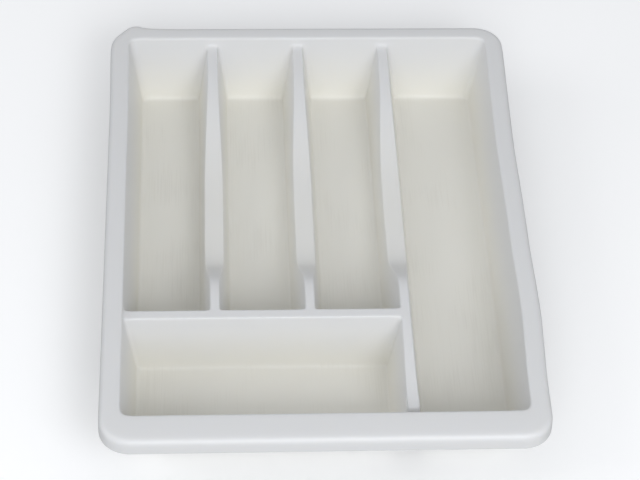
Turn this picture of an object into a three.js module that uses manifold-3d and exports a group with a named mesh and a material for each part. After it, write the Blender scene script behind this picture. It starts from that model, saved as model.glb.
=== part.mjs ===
// Cutlery tray for a kitchen drawer: one thin-walled polypropylene moulding with a turned-down rim,
// hollow dividers with scooped tops, and four soft feet seated in moulded sockets under the floor.
// Millimetres, +Z up, +Y towards the rear of the drawer. The origin is the middle of the base.

import * as THREE from 'three';
import { mergeVertices } from 'three/addons/utils/BufferGeometryUtils.js';
import Module from 'manifold-3d';

const wasm = await Module();
wasm.setup();

// Bays: clear widths and lengths at rim level.
const NARROW_BAY_COUNT = 3;
const NARROW_BAY_WIDTH = 63.3;
const WIDE_BAY_WIDTH = 79.2;
const LONG_BAY_LENGTH = 277.5;
const FRONT_BAY_LENGTH = 88;
const BAY_DEPTH = 56;
const BAY_CORNER_RADIUS = 6;
const FLOOR_FILLET = 4;

// Walls: dividers and cross wall are measured where their sides would meet the rim's plane.
const WALL = 1.6;
const SIDE_DRAFT = Math.tan(THREE.MathUtils.degToRad(8.5));
const END_DRAFT = Math.tan(THREE.MathUtils.degToRad(13));
const CROSS_WALL_FRONT_DRAFT = Math.tan(THREE.MathUtils.degToRad(5.5));
const DIVIDER_WIDTH = 5.3;
const CROSS_WALL_WIDTH = 6.7;

// Tops of the dividers and the cross wall, as drops below the rim.
const CREST_DROP = 4.8;
const REAR_CREST_DROP = 8;
const SCOOP_DROP = 30.5;
const FRONT_CREST_DROP = 9.5;

// Lengths along a divider's top, counted from the cross wall towards the rear wall.
const CREST_LENGTH = 25;
const RAMP_LENGTH = 43;
const SCOOP_FLAT_LENGTH = 62;
const REAR_CREST_LENGTH = 8;

// Front end of the last divider, which falls away before it meets the front wall.
const FRONT_NOTCH_LENGTH = 8;
const FRONT_NOTCH_DEPTH = 18;

// Rim: a flat flange with a rolled edge and a skirt.
const SIDE_RIM_WIDTH = 15;
const REAR_RIM_WIDTH = 14;
const FRONT_RIM_WIDTH = 23.5;
const RIM_CORNER_RADIUS = 21;
const RIM_EDGE_RADIUS = 4.5;
const SKIRT_DEPTH = 13;
const SKIRT_DRAFT = Math.tan(THREE.MathUtils.degToRad(2));

// Feet: soft discs inside moulded rings.
const FOOT_RADIUS = 8;
const FOOT_THICKNESS = 2.2;
const FOOT_CHAMFER = 0.6;
const FOOT_GAP = 0.3;
const FOOT_INSET = 19;
const SOCKET_WALL = 1.6;
const SOCKET_DEPTH = 1.4;

// Fineness of round stretches, and how far a cutter runs past what it cuts.
const CORNER_SEGMENTS = 6;
const EDGE_SEGMENTS = 4;
const TOP_CURVE_SEGMENTS = 12;
const FOOT_SEGMENTS = 32;
const PAST = 10;

// Sizes that follow from the driving dimensions.
const OPENING_WIDTH = NARROW_BAY_COUNT * (NARROW_BAY_WIDTH + DIVIDER_WIDTH) + WIDE_BAY_WIDTH;
const OPENING_LENGTH = FRONT_BAY_LENGTH + CROSS_WALL_WIDTH + LONG_BAY_LENGTH;
const SKIRT_FLARE = SKIRT_DEPTH * SKIRT_DRAFT;
const BASE_CLEARANCE = FOOT_GAP + FOOT_THICKNESS;
const RIM_Z = BASE_CLEARANCE + WALL + BAY_DEPTH;
const FRONT_Y = (FRONT_RIM_WIDTH - REAR_RIM_WIDTH - OPENING_LENGTH) / 2;
const REAR_Y = FRONT_Y + OPENING_LENGTH;
const LEFT_X = -OPENING_WIDTH / 2;
const RIGHT_X = OPENING_WIDTH / 2;
const CROSS_WALL_Y = FRONT_Y + FRONT_BAY_LENGTH + CROSS_WALL_WIDTH / 2;
const CROSS_WALL_REAR_Y = CROSS_WALL_Y + CROSS_WALL_WIDTH / 2;
const SIDE_THICKNESS = WALL * Math.hypot(1, SIDE_DRAFT);
const END_THICKNESS = WALL * Math.hypot(1, END_DRAFT);

// A closed geometry as a solid that can be joined and cut.
function solidOf(geometry) {
  geometry.deleteAttribute('normal');
  geometry.deleteAttribute('uv');
  const merged = mergeVertices(geometry, 1e-4);
  return new wasm.Manifold(new wasm.Mesh({
    numProp: 3,
    vertProperties: merged.attributes.position.array,
    triVerts: new Uint32Array(merged.index.array),
  }));
}

// A solid as a named mesh with its own material.
function meshOf(name, solid, material) {
  const data = solid.getMesh();
  const geometry = new THREE.BufferGeometry();
  geometry.setAttribute('position', new THREE.BufferAttribute(data.vertProperties, 3));
  geometry.setIndex(new THREE.BufferAttribute(data.triVerts, 1));
  geometry.computeVertexNormals();
  const mesh = new THREE.Mesh(geometry, material);
  mesh.name = name;
  return mesh;
}

// A rectangle in plan, grown outwards at its sides and at its ends.
function grown(rectangle, atSides, atEnds) {
  return {
    left: rectangle.left - atSides,
    right: rectangle.right + atSides,
    front: rectangle.front - atEnds,
    rear: rectangle.rear + atEnds,
  };
}

function roundedOutline(rectangle, radius) {
  const { left, right, front, rear } = rectangle;
  const quarter = Math.PI / 2;
  const shape = new THREE.Shape();
  shape.absarc(right - radius, front + radius, radius, -quarter, 0);
  shape.absarc(right - radius, rear - radius, radius, 0, quarter);
  shape.absarc(left + radius, rear - radius, radius, quarter, 2 * quarter);
  shape.absarc(left + radius, front + radius, radius, 2 * quarter, 3 * quarter);
  return shape;
}

// A rounded block between two heights with rolled upper and lower edges. Its sides and its ends
// lean, so that it has the given outline at rim height and another one below it.
function leaningBlock(rectangle, radius, bottom, top, edgeRadius, sideLean, endLean) {
  const geometry = new THREE.ExtrudeGeometry(roundedOutline(rectangle, radius), {
    depth: top - bottom - 2 * edgeRadius,
    curveSegments: CORNER_SEGMENTS,
    bevelThickness: edgeRadius,
    bevelSize: edgeRadius,
    bevelOffset: -edgeRadius,
    bevelSegments: EDGE_SEGMENTS,
  });
  geometry.translate(0, 0, bottom + edgeRadius);
  const middleX = (rectangle.left + rectangle.right) / 2;
  const middleY = (rectangle.front + rectangle.rear) / 2;
  const position = geometry.attributes.position;
  for (let i = 0; i < position.count; i += 1) {
    const depth = RIM_Z - position.getZ(i);
    position.setX(i, position.getX(i) - Math.sign(position.getX(i) - middleX) * depth * sideLean);
    position.setY(i, position.getY(i) - Math.sign(position.getY(i) - middleY) * depth * endLean);
  }
  return solidOf(geometry);
}

// A section drawn in Y and Z, extruded along X.
function extrudedAlongX(shape, fromX, toX) {
  const geometry = new THREE.ExtrudeGeometry(shape, {
    depth: toX - fromX,
    curveSegments: TOP_CURVE_SEGMENTS,
    bevelEnabled: false,
  });
  geometry.rotateX(Math.PI / 2);
  geometry.rotateZ(Math.PI / 2);
  geometry.translate(fromX, 0, 0);
  return solidOf(geometry);
}

// A section drawn in X and Z, extruded along Y.
function extrudedAlongY(shape, fromY, toY) {
  const geometry = new THREE.ExtrudeGeometry(shape, { depth: toY - fromY, bevelEnabled: false });
  geometry.rotateX(Math.PI / 2);
  geometry.translate(0, toY, 0);
  return solidOf(geometry);
}

// The section of a wall that widens downwards on both sides of its middle, up to a given height.
// For the hollow inside the wall, both sides are inset.
function wallSection(middle, width, lowDraft, highDraft, inset, top) {
  const halfAtRim = width / 2 - inset;
  const depthAtTop = RIM_Z - top;
  const depthAtBottom = RIM_Z + PAST;
  const shape = new THREE.Shape();
  shape.moveTo(middle - halfAtRim - depthAtBottom * lowDraft, -PAST);
  shape.lineTo(middle + halfAtRim + depthAtBottom * highDraft, -PAST);
  shape.lineTo(middle + halfAtRim + depthAtTop * highDraft, top);
  shape.lineTo(middle - halfAtRim - depthAtTop * lowDraft, top);
  shape.closePath();
  return shape;
}

// The side view of a divider from front to rear, lowered for the hollow inside it.
function dividerProfile(reachesFront, lowered, fromY, toY) {
  const crest = RIM_Z - CREST_DROP - lowered;
  const scoop = RIM_Z - SCOOP_DROP - lowered;
  const rearCrest = RIM_Z - REAR_CREST_DROP - lowered;
  const frontCrest = RIM_Z - FRONT_CREST_DROP - lowered;
  const rampTop = CROSS_WALL_REAR_Y + CREST_LENGTH;
  const rampFoot = rampTop + RAMP_LENGTH;
  const scoopEnd = rampFoot + SCOOP_FLAT_LENGTH;
  const rearCrestStart = REAR_Y - REAR_CREST_LENGTH;
  const shape = new THREE.Shape();
  shape.moveTo(fromY, -PAST);
  if (reachesFront) {
    const notchFoot = FRONT_Y + FRONT_CREST_DROP * END_DRAFT;
    shape.lineTo(fromY, frontCrest - FRONT_NOTCH_DEPTH);
    shape.lineTo(notchFoot, frontCrest - FRONT_NOTCH_DEPTH);
    shape.lineTo(notchFoot + FRONT_NOTCH_LENGTH, frontCrest);
    const bend = (CROSS_WALL_Y - notchFoot - FRONT_NOTCH_LENGTH) / 2;
    shape.bezierCurveTo(CROSS_WALL_Y - bend, frontCrest + (crest - frontCrest) / 2,
      CROSS_WALL_Y - bend, crest, CROSS_WALL_Y, crest);
  } else {
    shape.lineTo(fromY, crest);
  }
  shape.lineTo(rampTop, crest);
  shape.bezierCurveTo(rampTop + RAMP_LENGTH / 4, crest, rampFoot - RAMP_LENGTH / 4, scoop, rampFoot, scoop);
  shape.lineTo(scoopEnd, scoop);
  const halfRise = (rearCrestStart - scoopEnd) / 2;
  shape.bezierCurveTo(scoopEnd + halfRise, scoop, rearCrestStart - halfRise, rearCrest,
    rearCrestStart, rearCrest);
  shape.lineTo(toY, rearCrest);
  shape.lineTo(toY, -PAST);
  shape.closePath();
  return shape;
}

// One divider as a solid ridge, or with an inset and lowered top as the hollow inside it.
function divider(index, inset, lowered) {
  const isLast = index === NARROW_BAY_COUNT - 1;
  const middle = LEFT_X + (index + 1) * (NARROW_BAY_WIDTH + DIVIDER_WIDTH) - DIVIDER_WIDTH / 2;
  const fromY = isLast ? FRONT_Y - WALL - PAST : CROSS_WALL_Y;
  const toY = REAR_Y + PAST;
  const halfBase = DIVIDER_WIDTH / 2 + (RIM_Z + PAST) * SIDE_DRAFT;
  const top = RIM_Z - CREST_DROP - lowered / 2;
  const section = wallSection(middle, DIVIDER_WIDTH, SIDE_DRAFT, SIDE_DRAFT, inset, top);
  const profile = dividerProfile(isLast, lowered, fromY, toY);
  return extrudedAlongY(section, fromY, toY)
    .intersect(extrudedAlongX(profile, middle - halfBase, middle + halfBase));
}

// The cross wall, from the left wall to the middle of the last divider.
function crossWall(inset, lowered) {
  const crest = RIM_Z - CREST_DROP - lowered;
  const section = wallSection(CROSS_WALL_Y, CROSS_WALL_WIDTH, CROSS_WALL_FRONT_DRAFT, SIDE_DRAFT,
    inset, crest);
  const toX = LEFT_X + NARROW_BAY_COUNT * (NARROW_BAY_WIDTH + DIVIDER_WIDTH) - DIVIDER_WIDTH / 2;
  return extrudedAlongX(section, LEFT_X - PAST, toX);
}

// All the ridges that stand up between the bays.
function ridges(inset, lowered) {
  let joined = crossWall(inset, lowered);
  for (let index = 0; index < NARROW_BAY_COUNT; index += 1) {
    joined = joined.add(divider(index, inset, lowered));
  }
  return joined;
}

// The flange and skirt around the opening, hollow from below.
function rim() {
  const outer = {
    left: LEFT_X - SIDE_RIM_WIDTH + SKIRT_FLARE,
    right: RIGHT_X + SIDE_RIM_WIDTH - SKIRT_FLARE,
    front: FRONT_Y - FRONT_RIM_WIDTH + SKIRT_FLARE,
    rear: REAR_Y + REAR_RIM_WIDTH - SKIRT_FLARE,
  };
  const skirtBottom = RIM_Z - SKIRT_DEPTH;
  const cutBottom = skirtBottom - PAST;
  const block = leaningBlock(outer, RIM_CORNER_RADIUS, cutBottom, RIM_Z, RIM_EDGE_RADIUS,
    -SKIRT_DRAFT, -SKIRT_DRAFT);
  const hollow = leaningBlock(grown(outer, -WALL, -WALL), RIM_CORNER_RADIUS - WALL, cutBottom - PAST,
    RIM_Z - WALL, RIM_EDGE_RADIUS - WALL, -SKIRT_DRAFT, -SKIRT_DRAFT);
  const kept = new THREE.BoxGeometry(2 * OPENING_WIDTH, 2 * OPENING_LENGTH, SKIRT_DEPTH + PAST);
  kept.translate(0, 0, skirtBottom + (SKIRT_DEPTH + PAST) / 2);
  return block.intersect(solidOf(kept)).subtract(hollow);
}

// Centres of the feet, inset from the corners of the base.
function footCentres() {
  const x = OPENING_WIDTH / 2 - BAY_DEPTH * SIDE_DRAFT - FOOT_INSET;
  const fromEnd = BAY_DEPTH * END_DRAFT + FOOT_INSET;
  const centres = {};
  for (const [end, y] of [['front', FRONT_Y + fromEnd], ['rear', REAR_Y - fromEnd]]) {
    centres[`foot_${end}_left`] = new THREE.Vector2(-x, y);
    centres[`foot_${end}_right`] = new THREE.Vector2(x, y);
  }
  return centres;
}

// A ring under the floor that holds a foot.
function socket(centre) {
  const innerRadius = FOOT_RADIUS + FOOT_GAP;
  const outerRadius = innerRadius + SOCKET_WALL;
  const bottom = BASE_CLEARANCE - SOCKET_DEPTH;
  const top = BASE_CLEARANCE + WALL / 2;
  const section = [
    new THREE.Vector2(innerRadius, bottom),
    new THREE.Vector2(outerRadius, bottom),
    new THREE.Vector2(outerRadius, top),
    new THREE.Vector2(innerRadius, top),
    new THREE.Vector2(innerRadius, bottom),
  ];
  const geometry = new THREE.LatheGeometry(section, FOOT_SEGMENTS);
  geometry.rotateX(Math.PI / 2);
  geometry.translate(centre.x, centre.y, 0);
  return solidOf(geometry);
}

// A soft disc with a chamfered lower edge, resting on the drawer.
function foot(centre) {
  const section = [
    new THREE.Vector2(0, 0),
    new THREE.Vector2(FOOT_RADIUS - FOOT_CHAMFER, 0),
    new THREE.Vector2(FOOT_RADIUS, FOOT_CHAMFER),
    new THREE.Vector2(FOOT_RADIUS, FOOT_THICKNESS),
    new THREE.Vector2(0, FOOT_THICKNESS),
  ];
  const geometry = new THREE.LatheGeometry(section, FOOT_SEGMENTS);
  geometry.rotateX(Math.PI / 2);
  geometry.translate(centre.x, centre.y, 0);
  return solidOf(geometry);
}

// The whole moulding: rim and tub, less the bays, with hollow ridges and foot sockets.
function trayMoulding() {
  const opening = { left: LEFT_X, right: RIGHT_X, front: FRONT_Y, rear: REAR_Y };
  const well = leaningBlock(opening, BAY_CORNER_RADIUS, RIM_Z - BAY_DEPTH, RIM_Z + PAST, FLOOR_FILLET,
    SIDE_DRAFT, END_DRAFT);
  const tub = leaningBlock(grown(opening, SIDE_THICKNESS, END_THICKNESS), BAY_CORNER_RADIUS + WALL,
    BASE_CLEARANCE, RIM_Z + PAST, FLOOR_FILLET + WALL, SIDE_DRAFT, END_DRAFT);
  const below = new THREE.BoxGeometry(2 * OPENING_WIDTH, 2 * OPENING_LENGTH, RIM_Z);
  below.translate(0, 0, RIM_Z / 2);
  let moulding = tub.intersect(solidOf(below)).add(rim());
  moulding = moulding.subtract(well.subtract(ridges(0, 0)));
  moulding = moulding.subtract(ridges(SIDE_THICKNESS, WALL));
  for (const centre of Object.values(footCentres())) {
    moulding = moulding.add(socket(centre));
  }
  return moulding;
}

const polypropylene = new THREE.MeshStandardMaterial({ color: 0xf1f0ea, roughness: 0.42, metalness: 0 });
const softRubber = new THREE.MeshStandardMaterial({ color: 0xc9c9c4, roughness: 0.8, metalness: 0 });

const tray = new THREE.Group();
tray.add(meshOf('tray_moulding', trayMoulding(), polypropylene));
for (const [name, centre] of Object.entries(footCentres())) {
  tray.add(meshOf(name, foot(centre), softRubber.clone()));
}

export default tray;
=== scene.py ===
# Cutlery tray for a kitchen drawer: the moulded tray, its four soft feet and the studio they stand in.
# Metres, +Z up, +Y towards the rear of the drawer. The origin is the middle of the base.

import math
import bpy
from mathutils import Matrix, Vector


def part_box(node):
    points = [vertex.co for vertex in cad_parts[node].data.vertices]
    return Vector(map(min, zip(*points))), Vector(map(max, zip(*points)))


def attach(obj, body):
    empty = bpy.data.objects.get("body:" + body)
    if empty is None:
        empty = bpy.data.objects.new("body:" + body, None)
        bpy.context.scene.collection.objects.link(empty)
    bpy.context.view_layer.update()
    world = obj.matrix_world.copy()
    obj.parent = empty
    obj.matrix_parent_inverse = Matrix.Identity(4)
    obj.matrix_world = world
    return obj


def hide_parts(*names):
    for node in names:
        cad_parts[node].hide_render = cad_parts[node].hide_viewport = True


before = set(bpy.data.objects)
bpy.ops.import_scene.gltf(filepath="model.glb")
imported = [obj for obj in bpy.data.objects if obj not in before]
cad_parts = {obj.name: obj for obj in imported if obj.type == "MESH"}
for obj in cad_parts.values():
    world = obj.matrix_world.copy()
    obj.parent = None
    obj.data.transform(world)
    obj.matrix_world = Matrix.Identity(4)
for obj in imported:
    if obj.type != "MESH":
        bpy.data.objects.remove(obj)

from types import SimpleNamespace

import bmesh
import bpy
from bpy.props import FloatProperty, FloatVectorProperty, IntProperty, PointerProperty
from mathutils import Euler, Vector
from mathutils.geometry import interpolate_bezier

bl_info = {
    "name": "Cutlery tray",
    "version": (1, 0, 0),
    "blender": (4, 5, 0),
    "location": "View3D > Sidebar > Cutlery tray",
    "description": "Builds a moulded cutlery tray with soft feet, and a studio around it",
    "category": "Add Mesh",
}

MM = 0.001
# Places that differ by less than this count as the same.
TINY = 0.05 * MM
# Vertices this close to a cut through the sheet are used for it, instead of new ones beside them.
SNAP = 0.3 * MM
# Segments of the rim's outer corners, sides of the feet and sockets, and points along a scoop's curve.
CORNER_STEPS = 5
ROUND_STEPS = 64
CURVE_POINTS = 65
# Ends the band of the sheet that leans in with the left wall, in mm past the opening's rounded corners.
BAND_COLUMN = 6
# Rows behind the top of the last divider's fall, in mm. Two keep its edge crisp, and the last one ends the
# band of the sheet that leans in with the front wall.
NOTCH_ROWS = (0.4, 2.6, 9)
# Each wave of the long sides: which side, how far along in mm, and how far outwards in mm.
SIDE_WAVES = ((1, 178, 1.3), (1, 58, -1.0), (1, -82, 1.2), (1, -160, -1.1), (-1, 178, 1.2))
WAVE_REACH = 55 * MM
# Each column of the swelling: its place from the end of the left corner's arc in mm, and its share.
SWELLING_COLUMNS = ((-6, 0.85), (1, 0.7))
# Rings under a foot, from its edge inwards: width as a share of the radius, rise as one of the thickness.
FOOT_RINGS = ((0.24, 0.0), (0.06, 0.12), (0.26, 0.0), (0.06, -0.08), (0.16, 0.0), (0.05, 0.16))
# Each lamp: its name, the setting that holds its power, and its size and place in metres.
LAMPS = (("front_light", "front", 1.4, (0, -1.9, 1.1)),
         ("right_light", "right", 0.9, (0.71, -1.49, 1.49)),
         ("left_light", "left", 1.4, (-2.0, 0, 1.2)))
FLOOR_SIZE = 8
SENSOR_WIDTH = 36
# What the camera looks at, in mm: right of the tray's middle, and behind the front of its opening.
AIM_RIGHT = 1.3
AIM_BEHIND = 156.4
FEET = sorted(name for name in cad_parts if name.startswith("foot_"))
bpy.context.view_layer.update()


def length(name, millimetres, description):
    """A size that a user may change, given in millimetres and kept in metres."""
    return FloatProperty(name=name, description=description, default=millimetres * MM, min=0.0,
                         precision=5, subtype="DISTANCE", unit="LENGTH")


def angle(name, degrees, description):
    """An angle that a user may change, given in degrees and kept in radians."""
    return FloatProperty(name=name, description=description, default=math.radians(degrees),
                         subtype="ANGLE", unit="ROTATION")


def power(name, watts, description):
    """The power of a light that a user may change, in watts."""
    return FloatProperty(name=name, description=description, default=watts, min=0.0,
                         subtype="POWER", unit="POWER")


def linear(hex_colour):
    """An sRGB hex colour as the linear colour that shaders use."""
    channels = [int(hex_colour[i:i + 2], 16) / 255 for i in (1, 3, 5)]
    return [c / 12.92 if c <= 0.04045 else ((c + 0.055) / 1.055) ** 2.4 for c in channels]


def colour(name, hex_colour, description):
    """A colour that a user may change, given in sRGB hex."""
    return FloatVectorProperty(name=name, description=description, subtype="COLOR", size=3,
                               min=0.0, max=1.0, default=linear(hex_colour))


class TrayShape(bpy.types.PropertyGroup):
    """Sizes of the moulding. Its outer box and its height come from the frame."""

    narrow_bays: IntProperty(name="Narrow bays", description="Number of narrow long bays",
                             default=3, min=1)
    narrow_bay_width: length("Narrow bay width", 63.3, "Clear width of a narrow bay at the rim")
    front_bay_length: length("Front bay length", 88, "Clear length of the front bay at the rim")
    bay_depth: length("Bay depth", 56, "From the rim down to the bays' floor")
    wall: length("Wall", 1.6, "Thickness of the moulding")
    side_draft: angle("Side draft", 8.5, "Lean of the side walls and the dividers")
    end_draft: angle("End draft", 13, "Lean of the front and rear walls")
    cross_front_draft: angle("Cross wall draft", 5.5, "Lean of the cross wall's front face")
    skirt_draft: angle("Skirt draft", 2, "Outward lean of the skirt")
    divider_width: length("Divider width", 5.3, "Between a divider's sides, carried up to the rim's height")
    cross_width: length("Cross wall width", 6.7,
                        "Between the cross wall's sides, carried up to the rim's height")
    crest_drop: length("Crest drop", 4.8, "From the rim down to the dividers' crests")
    rear_crest_drop: length("Rear crest drop", 8, "From the rim down to the dividers' rear ends")
    scoop_drop: length("Scoop drop", 30.5, "From the rim down to the lowest part of a scoop")
    front_crest_drop: length("Front crest drop", 9.5, "From the rim to the last divider's front end")
    crest_length: length("Crest length", 25, "Level stretch behind the cross wall")
    ramp_length: length("Ramp length", 43, "From the crest down into the scoop")
    flat_length: length("Scoop length", 62, "Level bottom of the scoop")
    rear_crest_length: length("Rear crest length", 8, "Level stretch before the rear wall")
    notch_length: length("Notch length", 8, "Length of the fall at the last divider's front end")
    notch_depth: length("Notch depth", 18, "Height of the fall at the last divider's front end")
    side_rim: length("Side rim", 15, "Width of the rim along the sides")
    rear_rim: length("Rear rim", 14, "Width of the rim along the rear")
    front_rim: length("Front rim", 23.5, "Width of the rim along the front")
    corner_radius: length("Corner radius", 21, "Radius of the rim's outer corners")
    edge_radius: length("Edge radius", 4.5, "Radius of the rim's rolled edge")
    skirt_depth: length("Skirt depth", 13, "From the rim down to the skirt's lower edge")
    lip: length("Lip", 3.2, "Softness of the edge between the rim and the bays")
    crest_edge: length("Crest edge", 2.2, "Softness of the dividers' upper edges")
    fillet: length("Floor fillet", 4.5, "Softness of the edge between a wall and the floor")
    foot_gap: length("Foot gap", 0.3, "Clearance between a foot and its socket")
    foot_edge: length("Foot edge", 0.6, "Roundness of a foot's lower edge")
    socket_wall: length("Socket wall", 1.6, "Thickness of the ring around a foot")
    socket_hold: length("Socket hold", 1.1, "How much of a foot the socket takes up")
    swelling: length("Swelling", 5, "How far the rear rim swells out near the left corner")


class TrayFinish(bpy.types.PropertyGroup):
    """Colours of the two plastics, and a painted warm tint of bounced light down in the bays."""

    # The first colour is the plastic's own. The second is painted bounce light, a warmer, lighter tint down
    # in the bays for the light that their walls throw onto each other.
    white: colour("White", "#DEDEDE", "Polypropylene where it is cleanest")
    painted_bounce_tint: colour("Cream", "#E9E7DF", "Polypropylene down in the bays, where it has yellowed a little")
    scuff: colour("Scuff", "#D9D6CD", "Polypropylene rubbed by cutlery")
    speck: colour("Speck", "#A8A397", "Dust caught in the surface")
    foot: colour("Foot", "#C3C3BE", "Thermoplastic rubber of the feet")
    foot_dust: colour("Foot dust", "#AFAEA7", "Rubber where it has picked up dust")


class TrayStudio(bpy.types.PropertyGroup):
    """Floor, lights and camera."""

    floor: colour("Floor", "#FCFCFC", "Colour of the floor as it is seen")
    bounce: colour("Bounce", "#B8B8B8", "Colour that the floor throws back onto the tray")
    glow: FloatProperty(name="Floor glow", description="How far the floor's shadows are lifted",
                        default=0.13, min=0.0)
    front: power("Front light", 18.5, "Power of the large low softbox in front")
    right: power("Right light", 10, "Power of the smaller softbox at the front right")
    left: power("Left light", 8, "Power of the softbox at the left")
    sky: FloatProperty(name="Sky", description="Strength of the even light from all round",
                       default=0.51, min=0.0)
    light: colour("Light", "#FAFCFF", "Colour of the lamps and of the even light")
    distance: length("Camera distance", 1474.7, "From the camera to the rim's plane along the view")
    tilt: angle("Camera tilt", 40.9006, "Tilt up from looking straight down")
    heading: angle("Camera heading", -4.6287, "Turn about the vertical")
    roll: angle("Camera roll", 2.9783, "Turn about the line of sight")
    lens: FloatProperty(name="Lens", description="Focal length on a 36 mm sensor", default=112.5,
                        subtype="DISTANCE_CAMERA", unit="CAMERA")


# --- Modelling helpers ---------------------------------------------------------------------------


def middle(part):
    """The middle of a vertex, an edge or a face."""
    if isinstance(part, bmesh.types.BMVert):
        return part.co
    return sum((vertex.co for vertex in part.verts), Vector()) / len(part.verts)


def select(piece, kind, test):
    """In edit mode, selects just the vertices, edges or faces whose middle passes the test."""
    bpy.ops.mesh.select_mode(type=kind)
    bpy.ops.mesh.select_all(action="DESELECT")
    mesh = bmesh.from_edit_mesh(piece.data)
    for part in {"VERT": mesh.verts, "EDGE": mesh.edges, "FACE": mesh.faces}[kind]:
        if test(middle(part)):
            part.select_set(True)
    mesh.select_flush_mode()
    bmesh.update_edit_mesh(piece.data)


def move(piece, test, offset):
    """Moves the vertices that pass the test."""
    select(piece, "VERT", test)
    bpy.ops.transform.translate(value=offset)


def start(name, add, **settings):
    """Adds a primitive with the given operator, names it and opens it in edit mode, all selected."""
    bpy.ops.object.select_all(action="DESELECT")
    add(**settings)
    piece = bpy.context.active_object
    piece.name = piece.data.name = name
    bpy.ops.object.transform_apply(location=True, rotation=True, scale=True)
    bpy.ops.object.mode_set(mode="EDIT")
    bpy.ops.mesh.select_all(action="SELECT")
    return piece


def finish(piece, kind, **settings):
    """Adds a modifier to the piece and applies it."""
    modifier = piece.modifiers.new(kind.title(), kind)
    for key, value in settings.items():
        setattr(modifier, key, value)
    bpy.context.view_layer.objects.active = piece
    bpy.ops.object.modifier_apply(modifier=modifier.name)


def smooth(piece, degrees):
    """Shades the piece smooth, apart from edges sharper than the angle."""
    bpy.ops.object.select_all(action="DESELECT")
    piece.select_set(True)
    bpy.context.view_layer.objects.active = piece
    bpy.ops.object.shade_smooth_by_angle(angle=math.radians(degrees))


def register_piece(piece, material, slot, *nodes):
    """Gives the piece its material, hangs it on the root and hides the parts that it replaces; the slot is
    not used.
    """
    piece.data.materials.clear()
    piece.data.materials.append(material)
    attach(piece, "root")
    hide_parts(*nodes)


# --- Plan of the tray ----------------------------------------------------------------------------


def plan_of(shape):
    """Where the opening, the dividers and the cross wall lie, worked out from the frame's box."""
    low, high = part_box("tray_moulding")
    side, end = math.tan(shape.side_draft), math.tan(shape.end_draft)
    plan = SimpleNamespace(low=low, high=high, rim=high.z, side=side, end=end)
    plan.left, plan.right = low.x + shape.side_rim, high.x - shape.side_rim
    plan.front, plan.rear = low.y + shape.front_rim, high.y - shape.rear_rim
    pitch = shape.narrow_bay_width + shape.divider_width
    plan.dividers = [plan.left + (i + 1) * pitch - shape.divider_width / 2
                     for i in range(shape.narrow_bays)]
    plan.crest_half = shape.divider_width / 2 + shape.crest_drop * side
    plan.cross = plan.front + shape.front_bay_length + shape.cross_width / 2
    cross_side = math.tan(shape.cross_front_draft)
    plan.cross_front = plan.cross - shape.cross_width / 2 - shape.crest_drop * cross_side
    plan.cross_rear = plan.cross + shape.cross_width / 2 + shape.crest_drop * side
    plan.ramp_top = plan.cross + shape.cross_width / 2 + shape.crest_length
    plan.ramp_foot = plan.ramp_top + shape.ramp_length
    plan.flat_end = plan.ramp_foot + shape.flat_length
    plan.rear_crest = plan.rear - shape.rear_crest_length
    plan.notch_top = plan.front + shape.notch_length + shape.front_crest_drop * end
    # The skirt widens downwards to the box, so the rim is narrower than the box by its flare.
    plan.flare = shape.skirt_depth * math.tan(shape.skirt_draft)
    # How far the opening's rounded corners reach along its sides, once the rim's corners are inset.
    miter = math.tan(math.pi / 8 / CORNER_STEPS)
    plan.arc = shape.corner_radius - (shape.side_rim - plan.flare) * (1 - miter)
    plan.last_left = plan.left + plan.arc + BAND_COLUMN * MM
    plan.last_front = plan.notch_top + NOTCH_ROWS[-1] * MM
    return plan


def spread(low, high, count):
    """Places between two ends, without the ends."""
    return [low + (high - low) * i / (count + 1) for i in range(1, count + 1)]


def lattice(shape, plan):
    """The lines across and along the tray that its edges, rounded corners and scoops need."""
    inner = plan.crest_half - shape.crest_edge
    across = [plan.left + plan.arc, plan.last_left, plan.right - plan.arc]
    for middle_x in plan.dividers:
        for reach in (plan.crest_half + shape.fillet, plan.crest_half, inner):
            across += [middle_x - reach, middle_x + reach]
    along = [plan.front + plan.arc, plan.rear - plan.arc]
    along += [plan.cross_front - shape.fillet, plan.cross_front, plan.cross_front + shape.crest_edge]
    along += [plan.cross_rear - shape.crest_edge, plan.cross_rear, plan.cross_rear + shape.fillet]
    along += [plan.notch_top + row * MM for row in NOTCH_ROWS]
    along += spread(plan.last_front, plan.cross_front - shape.fillet, 2)
    along += [plan.ramp_top] + spread(plan.ramp_top, plan.ramp_foot, 4) + [plan.ramp_foot]
    along += spread(plan.ramp_foot, plan.flat_end, 1)
    along += [plan.flat_end] + spread(plan.flat_end, plan.rear_crest, 4)
    return sorted(across), sorted(along)


def top_drop(shape, plan, y):
    """How far a divider's top lies below the rim at a place along it."""
    crest, scoop, rear = shape.crest_drop, shape.scoop_drop, shape.rear_crest_drop
    front_start = plan.front + shape.notch_length
    half_rise = (plan.rear_crest - plan.flat_end) / 2
    half_front = (plan.cross - front_start) / 2
    quarter = shape.ramp_length / 4
    curves = (
        (front_start, shape.front_crest_drop, plan.cross, crest, half_front),
        (plan.cross, crest, plan.ramp_top, crest, 0.0),
        (plan.ramp_top, crest, plan.ramp_foot, scoop, quarter),
        (plan.ramp_foot, scoop, plan.flat_end, scoop, 0.0),
        (plan.flat_end, scoop, plan.rear_crest, rear, half_rise),
    )
    for y0, drop0, y1, drop1, handle in curves:
        if y0 <= y <= y1:
            points = interpolate_bezier(Vector((y0, drop0)), Vector((y0 + handle, drop0)),
                                        Vector((y1 - handle, drop1)), Vector((y1, drop1)), CURVE_POINTS)
            for a, b in zip(points, points[1:]):
                if a.x <= y <= b.x:
                    return a.y + (b.y - a.y) * (y - a.x) / max(b.x - a.x, 1e-9)
    return rear if y > plan.rear_crest else shape.front_crest_drop


# --- Moulding ------------------------------------------------------------------------------------


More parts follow.
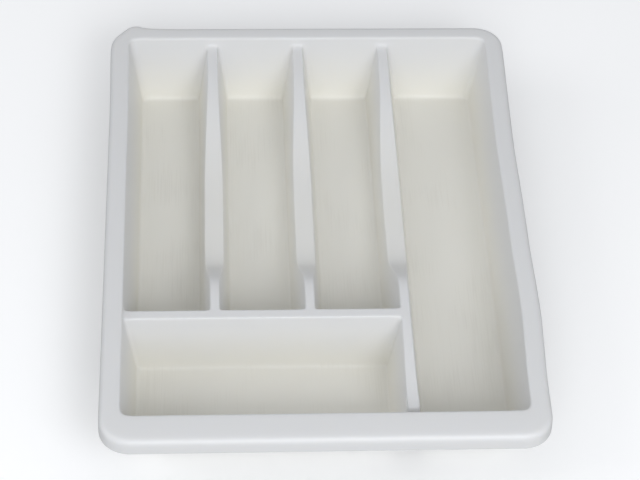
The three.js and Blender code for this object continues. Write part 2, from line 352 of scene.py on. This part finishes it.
def flat_sheet(shape, plan):
    """The rim's outline at rim height, with a ring for the rim and the opening inside it."""
    width, reach = 2 * (plan.high.x - plan.flare), 2 * (plan.high.y - plan.flare)
    piece = start("tray_shell", bpy.ops.mesh.primitive_plane_add, size=width, location=(0, 0, plan.rim))
    bpy.ops.transform.resize(value=(1, reach / width, 1), center_override=(0, 0, plan.rim))
    bpy.ops.mesh.bevel(offset=shape.corner_radius, segments=CORNER_STEPS, affect="VERTICES")
    bpy.ops.mesh.select_mode(type="FACE")
    bpy.ops.mesh.select_all(action="SELECT")
    rim = shape.side_rim - plan.flare
    for step in (rim - shape.lip, shape.lip):
        bpy.ops.mesh.inset(thickness=step)
    inner_band = rim - shape.lip - TINY
    inside = lambda c: abs(c.x) < width / 2 - inner_band and abs(c.y) < reach / 2 - inner_band
    move(piece, lambda c: inside(c) and c.y < 0, (0, shape.front_rim - shape.side_rim, 0))
    move(piece, lambda c: inside(c) and c.y > 0, (0, shape.side_rim - shape.rear_rim, 0))
    return piece


def cut_lattice(piece, across, along):
    """Cuts the sheet along every line, so that each edge to come has a row of vertices."""
    for axis, lines in ((0, across), (1, along)):
        for line in lines:
            place = [0, 0, 0]
            place[axis] = line
            normal = [0, 0, 0]
            normal[axis] = 1
            bpy.ops.mesh.select_all(action="SELECT")
            bpy.ops.mesh.bisect(plane_co=place, plane_no=normal, threshold=SNAP)


def in_corner(c, area):
    """Whether a point lies outside the area's rounded corners."""
    across = max(area.left + area.round - c.x, c.x - area.right + area.round, 0)
    along = max(area.front + area.round - c.y, c.y - area.rear + area.round, 0)
    return math.hypot(across, along) > area.round


def sink(piece, area, drop, leans, bands):
    """Pushes the faces of the area down and draws each side's band in by its lean times the drop."""
    inside = lambda c, pad: (area.left - pad < c.x < area.right + pad
                             and area.front - pad < c.y < area.rear + pad)
    select(piece, "FACE", lambda c: abs(c.z - area.z) < TINY and inside(c, 0) and not in_corner(c, area))
    bpy.ops.mesh.extrude_region_move(TRANSFORM_OT_translate={"value": (0, 0, -drop)})
    area.z -= drop
    level = lambda c: abs(c.z - area.z) < TINY and inside(c, TINY)
    left, right, front, rear = (lean * drop for lean in leans)
    left_band, right_band, front_band, rear_band = (band + TINY for band in bands)
    move(piece, lambda c: level(c) and c.x < area.left + left_band, (left, 0, 0))
    move(piece, lambda c: level(c) and c.x > area.right - right_band, (-right, 0, 0))
    move(piece, lambda c: level(c) and c.y < area.front + front_band, (0, front, 0))
    move(piece, lambda c: level(c) and c.y > area.rear - rear_band, (0, -rear, 0))
    area.left += left
    area.right -= right
    area.front += front
    area.rear -= rear


def sink_bays(piece, shape, plan):
    """The opening down to the crests' height, and each bay from there to the floor."""
    side, end = plan.side, plan.end
    radius = shape.corner_radius - shape.side_rim
    whole = SimpleNamespace(left=plan.left, right=plan.right, front=plan.front, rear=plan.rear,
                            z=plan.rim, round=radius)
    lip = min(shape.lip, shape.crest_drop / 2)
    for drop in (lip, shape.crest_drop - lip):
        sink(piece, whole, drop, (side, side, end, end), [plan.arc] * 4)
    half, last = plan.crest_half, plan.dividers[-1]
    lefts = [whole.left] + [x + half for x in plan.dividers[:-1]]
    bays = [(left, x - half, plan.cross_rear, whole.rear, (side, side, side, end))
            for left, x in zip(lefts, plan.dividers)]
    bays.append((last + half, whole.right, whole.front, whole.rear, (side, side, end, end)))
    bays.append((whole.left, last - half, whole.front, plan.cross_front,
                 (side, side, end, math.tan(shape.cross_front_draft))))
    deep = shape.bay_depth - shape.crest_drop
    for left, right, front, rear, leans in bays:
        bay = SimpleNamespace(left=left, right=right, front=front, rear=rear, z=whole.z, round=radius)
        bands = [plan.arc] * 4
        if left == whole.left:
            bands[0] = plan.last_left - whole.left
        if front == whole.front:
            bands[2] = plan.last_front - whole.front
        for drop in (shape.crest_edge, deep - shape.crest_edge - shape.fillet, shape.fillet):
            sink(piece, bay, drop, leans, bands)
    return whole


def lower_dividers(piece, shape, plan, whole):
    """Bends the dividers' tops down into their scoops, widening them along their leaning sides."""
    top = whole.z
    wall = top - shape.crest_edge
    # A row's upper and lower vertices lie apart only where it leans with the front or the rear wall.
    level_row, leaning_row = 0.2 * MM, 1.5 * MM
    notch_top = plan.notch_top
    fall = shape.notch_depth / shape.notch_length
    foot_drop = shape.front_crest_drop + shape.notch_depth / (1 + fall * plan.end)
    foot_y = plan.front + foot_drop * plan.end
    for number, centre in enumerate(plan.dividers):
        last = number == len(plan.dividers) - 1
        begin = whole.front - TINY if last else plan.cross_rear + shape.fillet - TINY
        reach = plan.crest_half + shape.crest_edge * plan.side + TINY
        strip = lambda c: abs(c.x - centre) < reach and wall - TINY < c.z < top + TINY and c.y > begin
        mesh = bmesh.from_edit_mesh(piece.data)
        rows = sorted({round(v.co.y, 6) for v in mesh.verts if strip(v.co) and v.co.z > top - TINY})
        for y in rows:
            shift, drop = 0.0, top_drop(shape, plan, y)
            if y < notch_top:
                part = (y - whole.front) / (notch_top - whole.front)
                drop = foot_drop + part * (shape.front_crest_drop - foot_drop)
                shift = foot_y + part * (notch_top - foot_y) - y
            elif y > whole.rear - TINY:
                shift = -(drop - shape.crest_drop) * plan.end
            down = drop - shape.crest_drop
            if abs(down) < TINY:
                continue
            leans = y < whole.front + TINY or y > whole.rear - TINY
            slack = leaning_row if leans else level_row
            row = lambda c: strip(c) and abs(c.y - y) < slack
            out = down * plan.side
            for way in (-1, 1):
                move(piece, lambda c: row(c) and (c.x - centre) * way > 0, (way * out, shift, -down))


def skirt(piece, shape, plan):
    """Turns the rim down all round and rolls its edge."""
    bpy.ops.mesh.select_mode(type="EDGE")
    bpy.ops.mesh.select_all(action="SELECT")
    bpy.ops.mesh.region_to_loop()
    bpy.ops.mesh.extrude_region_move(TRANSFORM_OT_translate={"value": (0, 0, -shape.skirt_depth)})
    grow = [1 + plan.flare / (half - plan.flare) for half in (plan.high.x, plan.high.y)]
    bpy.ops.transform.resize(value=(*grow, 1), center_override=(0, 0, plan.rim - shape.skirt_depth))

    # The middle of an edge on a corner's arc lies a little inside the arc.
    sag = 0.6 * MM
    width, reach = plan.high.x - plan.flare, plan.high.y - plan.flare

    def on_edge(c):
        straight = abs(c.x) > width - TINY or abs(c.y) > reach - TINY
        arc_x = abs(c.x) - (width - shape.corner_radius)
        arc_y = abs(c.y) - (reach - shape.corner_radius)
        curved = arc_x > 0 and arc_y > 0 and math.hypot(arc_x, arc_y) > shape.corner_radius - sag
        return abs(c.z - plan.rim) < TINY and (straight or curved)

    select(piece, "EDGE", on_edge)
    bpy.ops.mesh.bevel(offset=shape.edge_radius, segments=3, affect="EDGES")


def nudge(piece, centre, reach, offset):
    """Pushes the moulding sideways near a place, less and less out to the reach."""
    grip = 12 * MM
    select(piece, "VERT", lambda c: (c - Vector(centre)).length < grip)
    if not any(vertex.select for vertex in bmesh.from_edit_mesh(piece.data).verts):
        raise RuntimeError("there is nothing to push near %s" % (centre,))
    bpy.ops.transform.translate(value=offset, use_proportional_edit=True,
                                proportional_edit_falloff="SMOOTH", proportional_size=reach)


def warp(piece, shape, plan):
    """The waves that the long sides took on as the moulding cooled, and a swelling at one corner."""
    bpy.ops.mesh.select_mode(type="VERT")
    level = plan.rim - shape.edge_radius
    # How far sideways and up or down the skirt's vertices are looked for.
    beside, around = 1.5 * MM, 6 * MM
    for side, y, out in SIDE_WAVES:
        x = plan.high.x if side > 0 else plan.low.x
        rows = [v.co.y for v in bmesh.from_edit_mesh(piece.data).verts
                if abs(v.co.x - x) < beside and abs(v.co.z - level) < around]
        nearest = min(rows, key=lambda row: abs(row - y * MM))
        nudge(piece, (x, nearest, level), WAVE_REACH, (side * out * MM, 0, 0))
    arc_end = plan.low.x + shape.corner_radius
    behind = plan.high.y - 1.6 * shape.edge_radius
    half_column = 2 * MM
    for place, share in SWELLING_COLUMNS:
        move(piece, lambda c: abs(c.x - arc_end - place * MM) < half_column and c.y > behind,
             (0, share * shape.swelling, 0))


def sockets(piece, shape, plan):
    """Joins a ring to the underside around each foot."""
    underside = plan.rim - shape.bay_depth - shape.wall
    top = underside + shape.wall / 2
    for name in FEET:
        low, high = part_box(name)
        bottom = high.z - shape.socket_hold
        radius = (high.x - low.x) / 2 + shape.foot_gap + shape.socket_wall
        centre = ((low.x + high.x) / 2, (low.y + high.y) / 2, (top + bottom) / 2)
        ring = start("socket_" + name, bpy.ops.mesh.primitive_cylinder_add, vertices=ROUND_STEPS,
                     radius=radius, depth=top - bottom, location=centre)
        select(ring, "FACE", lambda c: abs(c.z - bottom) < TINY)
        bpy.ops.mesh.inset(thickness=shape.socket_wall)
        rise = (0, 0, underside + TINY - bottom)
        bpy.ops.mesh.extrude_region_move(TRANSFORM_OT_translate={"value": rise})
        select(ring, "EDGE", lambda c: abs(c.z - bottom) < TINY)
        bpy.ops.mesh.bevel(offset=shape.socket_wall / 6, segments=2, affect="EDGES")
        bpy.ops.object.mode_set(mode="OBJECT")
        finish(piece, "BOOLEAN", operation="UNION", object=ring, solver="MANIFOLD")
        bpy.data.objects.remove(ring)


class TRAY_OT_moulding(bpy.types.Operator):
    """Builds the moulded tray: rim, skirt, bays, scooped dividers and foot sockets"""

    bl_idname = "cutlery_tray.moulding"
    bl_label = "Moulding"

    def execute(self, context):
        shape = context.scene.tray_shape
        plan = plan_of(shape)
        piece = flat_sheet(shape, plan)
        cut_lattice(piece, *lattice(shape, plan))
        whole = sink_bays(piece, shape, plan)
        lower_dividers(piece, shape, plan, whole)
        skirt(piece, shape, plan)
        warp(piece, shape, plan)
        bpy.ops.mesh.select_all(action="SELECT")
        bpy.ops.mesh.normals_make_consistent(inside=False)
        bpy.ops.object.mode_set(mode="OBJECT")
        finish(piece, "SUBSURF", levels=2, render_levels=2)
        finish(piece, "SOLIDIFY", thickness=shape.wall, offset=-1)
        sockets(piece, shape, plan)
        smooth(piece, degrees=40)
        plastic = polypropylene(context.scene.tray_finish)
        register_piece(piece, plastic, "white_polypropylene", "tray_moulding")
        return {"FINISHED"}


# --- Feet ----------------------------------------------------------------------------------------


def foot(name, shape):
    """A soft disc with a rounded lower edge, a raised tread ring and a dimple where the mould fed it."""
    low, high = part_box(name)
    radius, thickness = (high.x - low.x) / 2, high.z - low.z
    centre = (low + high) / 2
    piece = start("soft_" + name, bpy.ops.mesh.primitive_cylinder_add, vertices=ROUND_STEPS,
                  radius=radius, depth=thickness, location=centre)
    under = lambda c: abs(c.z - low.z) < TINY
    select(piece, "FACE", under)
    for width, rise in FOOT_RINGS:
        bpy.ops.mesh.inset(thickness=width * radius)
        bpy.ops.transform.translate(value=(0, 0, rise * thickness))
    rim_band = 0.98 * radius
    select(piece, "EDGE", lambda c: under(c) and math.hypot(c.x - centre.x, c.y - centre.y) > rim_band)
    bpy.ops.mesh.bevel(offset=shape.foot_edge, segments=4, affect="EDGES")
    bpy.ops.mesh.select_all(action="SELECT")
    bpy.ops.mesh.normals_make_consistent(inside=False)
    bpy.ops.object.mode_set(mode="OBJECT")
    smooth(piece, degrees=35)
    return piece


class TRAY_OT_feet(bpy.types.Operator):
    """Builds the four soft feet that press into the sockets under the tray"""

    bl_idname = "cutlery_tray.feet"
    bl_label = "Feet"

    def execute(self, context):
        rubber = soft_rubber(context.scene.tray_finish)
        for name in FEET:
            register_piece(foot(name, context.scene.tray_shape), rubber, "soft_foot", name)
        return {"FINISHED"}


# --- Materials -----------------------------------------------------------------------------------


def add_node(tree, kind, links=None, **settings):
    """Adds a node, sets its properties and sockets, and links sockets to what feeds them."""
    node = tree.nodes.new(kind)
    for key, value in settings.items():
        if key == "ramp":
            for stop, (place, tone) in zip(node.color_ramp.elements, value):
                stop.position, stop.color = place, (tone, tone, tone, 1)
        elif key == "values":
            for socket, number in value.items():
                node.inputs[socket].default_value = number
        else:
            setattr(node, key, value)
    for socket, source in (links or {}).items():
        tree.links.new(source, node.inputs[socket])
    return node


def new_material(name):
    """A material with its tree, its shader and the object's own coordinates."""
    material = bpy.data.materials.new(name)
    material.use_nodes = True
    tree = material.node_tree
    place = add_node(tree, "ShaderNodeTexCoord").outputs["Object"]
    return material, tree, tree.nodes["Principled BSDF"], place


def per_metre(millimetres):
    """The scale of a pattern whose features are this far apart."""
    return 1 / (millimetres * MM)


def polypropylene(tints):
    """White polypropylene from an injection mould with a fine satin grain."""
    # Satin and a little waxy: broad soft highlights and a slight glow through thin walls. Down in the bays
    # the colour is painted warmer and lighter, for the light that their walls throw onto each other.
    material, tree, shader, place = new_material("moulded_polypropylene")
    height = add_node(tree, "ShaderNodeSeparateXYZ", {"Vector": place}).outputs["Z"]
    blotch = add_node(tree, "ShaderNodeTexNoise", {"Vector": place},
                      values={"Scale": per_metre(70), "Detail": 2.0, "Roughness": 0.5}).outputs["Fac"]
    # Painted bounce light: the warm tint is full on the floors and fades out towards the rim,
    # and its edge wanders by about 8 mm.
    wander = add_node(tree, "ShaderNodeMath", {0: blotch, 2: height}, operation="MULTIPLY_ADD",
                      values={1: 16 * MM}).outputs[0]
    depth = add_node(tree, "ShaderNodeMapRange", {"Value": wander}, interpolation_type="SMOOTHSTEP",
                     values={"From Min": 10 * MM, "From Max": 64 * MM,
                             "To Min": 1.0, "To Max": 0.0}).outputs[0]
    # Mixes in the painted warm bounce tint by that share.
    base = add_node(tree, "ShaderNodeMix", {"Factor": depth}, data_type="RGBA",
                    values={6: (*tints.white, 1), 7: (*tints.painted_bounce_tint, 1)}).outputs[2]

    # Cutlery slides along the bays: faint scuffs about 1.2 mm wide and 40 mm long, on the floors.
    streaks = add_node(tree, "ShaderNodeMapping", {"Vector": place},
                       values={"Scale": (per_metre(1.2), per_metre(40), per_metre(20))}).outputs[0]
    streak = add_node(tree, "ShaderNodeTexNoise", {"Vector": streaks},
                      values={"Scale": 1.0, "Detail": 2.0, "Roughness": 0.6}).outputs["Fac"]
    patch = add_node(tree, "ShaderNodeTexNoise", {"Vector": place},
                     values={"Scale": per_metre(45), "Detail": 1.0}).outputs["Fac"]
    rubbed = add_node(tree, "ShaderNodeMath", {0: streak, 1: patch}, operation="MULTIPLY").outputs[0]
    marks = add_node(tree, "ShaderNodeValToRGB", {"Fac": rubbed},
                     ramp=((0.27, 0.0), (0.46, 0.3))).outputs[0]
    low_down = add_node(tree, "ShaderNodeMapRange", {"Value": height},
                        values={"From Min": 5 * MM, "From Max": 12 * MM,
                                "To Min": 1.0, "To Max": 0.0}).outputs[0]
    scuffs = add_node(tree, "ShaderNodeMath", {0: marks, 1: low_down}, operation="MULTIPLY").outputs[0]
    base = add_node(tree, "ShaderNodeMix", {"Factor": scuffs, 6: base}, data_type="RGBA",
                    values={7: (*tints.scuff, 1)}).outputs[2]

    # A speck of dust in the surface every 28 mm or so, 0.5 mm across.
    dots = add_node(tree, "ShaderNodeTexVoronoi", {"Vector": place},
                    values={"Scale": per_metre(28)}).outputs[0]
    specks = add_node(tree, "ShaderNodeValToRGB", {"Fac": dots},
                      ramp=((0.006, 0.5), (0.012, 0.0))).outputs[0]
    base = add_node(tree, "ShaderNodeMix", {"Factor": specks, 6: base}, data_type="RGBA",
                    values={7: (*tints.speck, 1)}).outputs[2]
    tree.links.new(base, shader.inputs["Base Color"])

    # Real mould grain is about 0.1 mm across; it is drawn at 0.9 mm so that it shows at all.
    grain = add_node(tree, "ShaderNodeTexNoise", {"Vector": place},
                     values={"Scale": per_metre(0.9), "Detail": 3.0, "Roughness": 0.6}).outputs["Fac"]
    sheen = add_node(tree, "ShaderNodeMath", {0: scuffs, 2: grain}, operation="MULTIPLY_ADD",
                     values={1: 0.5}).outputs[0]
    rough = add_node(tree, "ShaderNodeMapRange", {"Value": sheen},
                     values={"From Min": 0.3, "From Max": 1.0,
                             "To Min": 0.36, "To Max": 0.50}).outputs[0]
    tree.links.new(rough, shader.inputs["Roughness"])

    # Thin moulded walls sink and ripple a little, by some hundredths of a millimetre over 35 mm.
    ripple = add_node(tree, "ShaderNodeTexNoise", {"Vector": place},
                      values={"Scale": per_metre(35), "Detail": 1.0}).outputs["Fac"]
    waves = add_node(tree, "ShaderNodeBump", {"Height": ripple},
                     values={"Strength": 0.6, "Distance": 0.25 * MM}).outputs[0]
    relief = add_node(tree, "ShaderNodeBump", {"Height": grain, "Normal": waves},
                      values={"Strength": 0.35, "Distance": 0.03 * MM}).outputs[0]
    tree.links.new(relief, shader.inputs["Normal"])
    shader.inputs["IOR"].default_value = 1.49
    shader.inputs["Subsurface Weight"].default_value = 0.12
    shader.inputs["Subsurface Radius"].default_value = (1.0, 0.9, 0.75)
    shader.inputs["Subsurface Scale"].default_value = 1.5 * MM
    return material


def soft_rubber(tints):
    """Thermoplastic rubber, moulded with a dull pebbled skin."""
    # Matt and slightly dusty, with no clear highlight.
    material, tree, shader, place = new_material("thermoplastic_rubber")
    dust = add_node(tree, "ShaderNodeTexNoise", {"Vector": place},
                    values={"Scale": per_metre(5), "Detail": 3.0, "Roughness": 0.6}).outputs["Fac"]
    cover = add_node(tree, "ShaderNodeValToRGB", {"Fac": dust},
                     ramp=((0.42, 0.0), (0.68, 1.0))).outputs[0]
    base = add_node(tree, "ShaderNodeMix", {"Factor": cover}, data_type="RGBA",
                    values={6: (*tints.foot, 1), 7: (*tints.foot_dust, 1)}).outputs[2]
    tree.links.new(base, shader.inputs["Base Color"])
    rough = add_node(tree, "ShaderNodeMapRange", {"Value": dust},
                     values={"To Min": 0.66, "To Max": 0.88}).outputs[0]
    tree.links.new(rough, shader.inputs["Roughness"])
    # Pebbles 0.35 mm apart.
    pebbles = add_node(tree, "ShaderNodeTexVoronoi", {"Vector": place}, feature="SMOOTH_F1",
                       values={"Scale": per_metre(0.35)}).outputs["Distance"]
    relief = add_node(tree, "ShaderNodeBump", {"Height": pebbles},
                      values={"Strength": 0.5, "Distance": 0.04 * MM}).outputs[0]
    tree.links.new(relief, shader.inputs["Normal"])
    shader.inputs["IOR"].default_value = 1.5
    return material


def floor_paint(studio):
    """Matt painted board on a lit table."""
    # Even and without gloss, with the faint orange peel that a roller leaves, about 4 mm across.
    # The board itself is seen whiter than the light that it throws back onto the tray.
    material, tree, shader, place = new_material("matt_painted_board")
    seen = add_node(tree, "ShaderNodeLightPath").outputs["Is Camera Ray"]
    base = add_node(tree, "ShaderNodeMix", {"Factor": seen}, data_type="RGBA",
                    values={6: (*studio.bounce, 1), 7: (*studio.floor, 1)}).outputs[2]
    glow = add_node(tree, "ShaderNodeMapRange", {"Value": seen},
                    values={"To Max": studio.glow}).outputs[0]
    tree.links.new(base, shader.inputs["Base Color"])
    tree.links.new(glow, shader.inputs["Emission Strength"])
    peel = add_node(tree, "ShaderNodeTexNoise", {"Vector": place},
                    values={"Scale": per_metre(4), "Detail": 2.0}).outputs["Fac"]
    relief = add_node(tree, "ShaderNodeBump", {"Height": peel},
                      values={"Strength": 0.2, "Distance": 0.05 * MM}).outputs[0]
    tree.links.new(relief, shader.inputs["Normal"])
    shader.inputs["Emission Color"].default_value = (1, 1, 1, 1)
    shader.inputs["Roughness"].default_value = 0.9
    return material


# --- Studio --------------------------------------------------------------------------------------


class TRAY_OT_studio(bpy.types.Operator):
    """Builds the floor, the lights and the camera"""

    bl_idname = "cutlery_tray.studio"
    bl_label = "Studio"

    def execute(self, context):
        studio = context.scene.tray_studio
        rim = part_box("tray_moulding")[1].z
        bpy.ops.object.select_all(action="DESELECT")
        bpy.ops.mesh.primitive_plane_add(size=FLOOR_SIZE, location=(0, 0, 0))
        floor = context.active_object
        floor.name = "floor"
        floor.data.materials.append(floor_paint(studio))
        front = plan_of(context.scene.tray_shape).front
        aim = Vector((AIM_RIGHT * MM, front + AIM_BEHIND * MM, rim))
        turn = (Euler((0, 0, studio.heading)).to_matrix() @ Euler((studio.tilt, 0, 0)).to_matrix()
                @ Euler((0, 0, studio.roll)).to_matrix())
        bpy.ops.object.camera_add(location=aim + turn @ Vector((0, 0, studio.distance)),
                                  rotation=turn.to_euler())
        camera = context.active_object
        camera.name = "camera"
        camera.data.sensor_width = SENSOR_WIDTH
        camera.data.lens = studio.lens
        context.scene.camera = camera
        for name, setting, size, place in LAMPS:
            toward = (aim - Vector(place)).to_track_quat("-Z", "Y")
            bpy.ops.object.light_add(type="AREA", location=place, rotation=toward.to_euler())
            lamp = context.active_object
            lamp.name = name
            lamp.data.energy = getattr(studio, setting)
            lamp.data.size = size
            lamp.data.color = studio.light
        world = bpy.data.worlds.new("studio_air")
        world.use_nodes = True
        air = world.node_tree.nodes["Background"]
        air.inputs["Color"].default_value = (*studio.light, 1)
        air.inputs["Strength"].default_value = studio.sky
        context.scene.world = world
        context.scene.view_settings.view_transform = "Standard"
        return {"FINISHED"}


class TRAY_PT_sidebar(bpy.types.Panel):
    """Lists the steps that build the tray, and what can be changed about it"""

    bl_label = "Cutlery tray"
    bl_space_type = "VIEW_3D"
    bl_region_type = "UI"
    bl_category = "Cutlery tray"

    def draw(self, context):
        for step in STEPS:
            self.layout.operator(step.bl_idname)
        for group in (context.scene.tray_shape, context.scene.tray_finish, context.scene.tray_studio):
            box = self.layout.box()
            for key in type(group).__annotations__:
                box.prop(group, key)


STEPS = (TRAY_OT_moulding, TRAY_OT_feet, TRAY_OT_studio)
CLASSES = (TrayShape, TrayFinish, TrayStudio, *STEPS, TRAY_PT_sidebar)


def register():
    """Registers the classes and hangs the tray's settings on the scene."""
    for cls in CLASSES:
        bpy.utils.register_class(cls)
    bpy.types.Scene.tray_shape = PointerProperty(type=TrayShape)
    bpy.types.Scene.tray_finish = PointerProperty(type=TrayFinish)
    bpy.types.Scene.tray_studio = PointerProperty(type=TrayStudio)


def unregister():
    """Takes away what register added."""
    del bpy.types.Scene.tray_studio
    del bpy.types.Scene.tray_finish
    del bpy.types.Scene.tray_shape
    for cls in reversed(CLASSES):
        bpy.utils.unregister_class(cls)


def main():
    """Builds the tray and its studio."""
    register()
    bpy.ops.cutlery_tray.moulding()
    bpy.ops.cutlery_tray.feet()
    bpy.ops.cutlery_tray.studio()


if __name__ == "__main__":
    main()
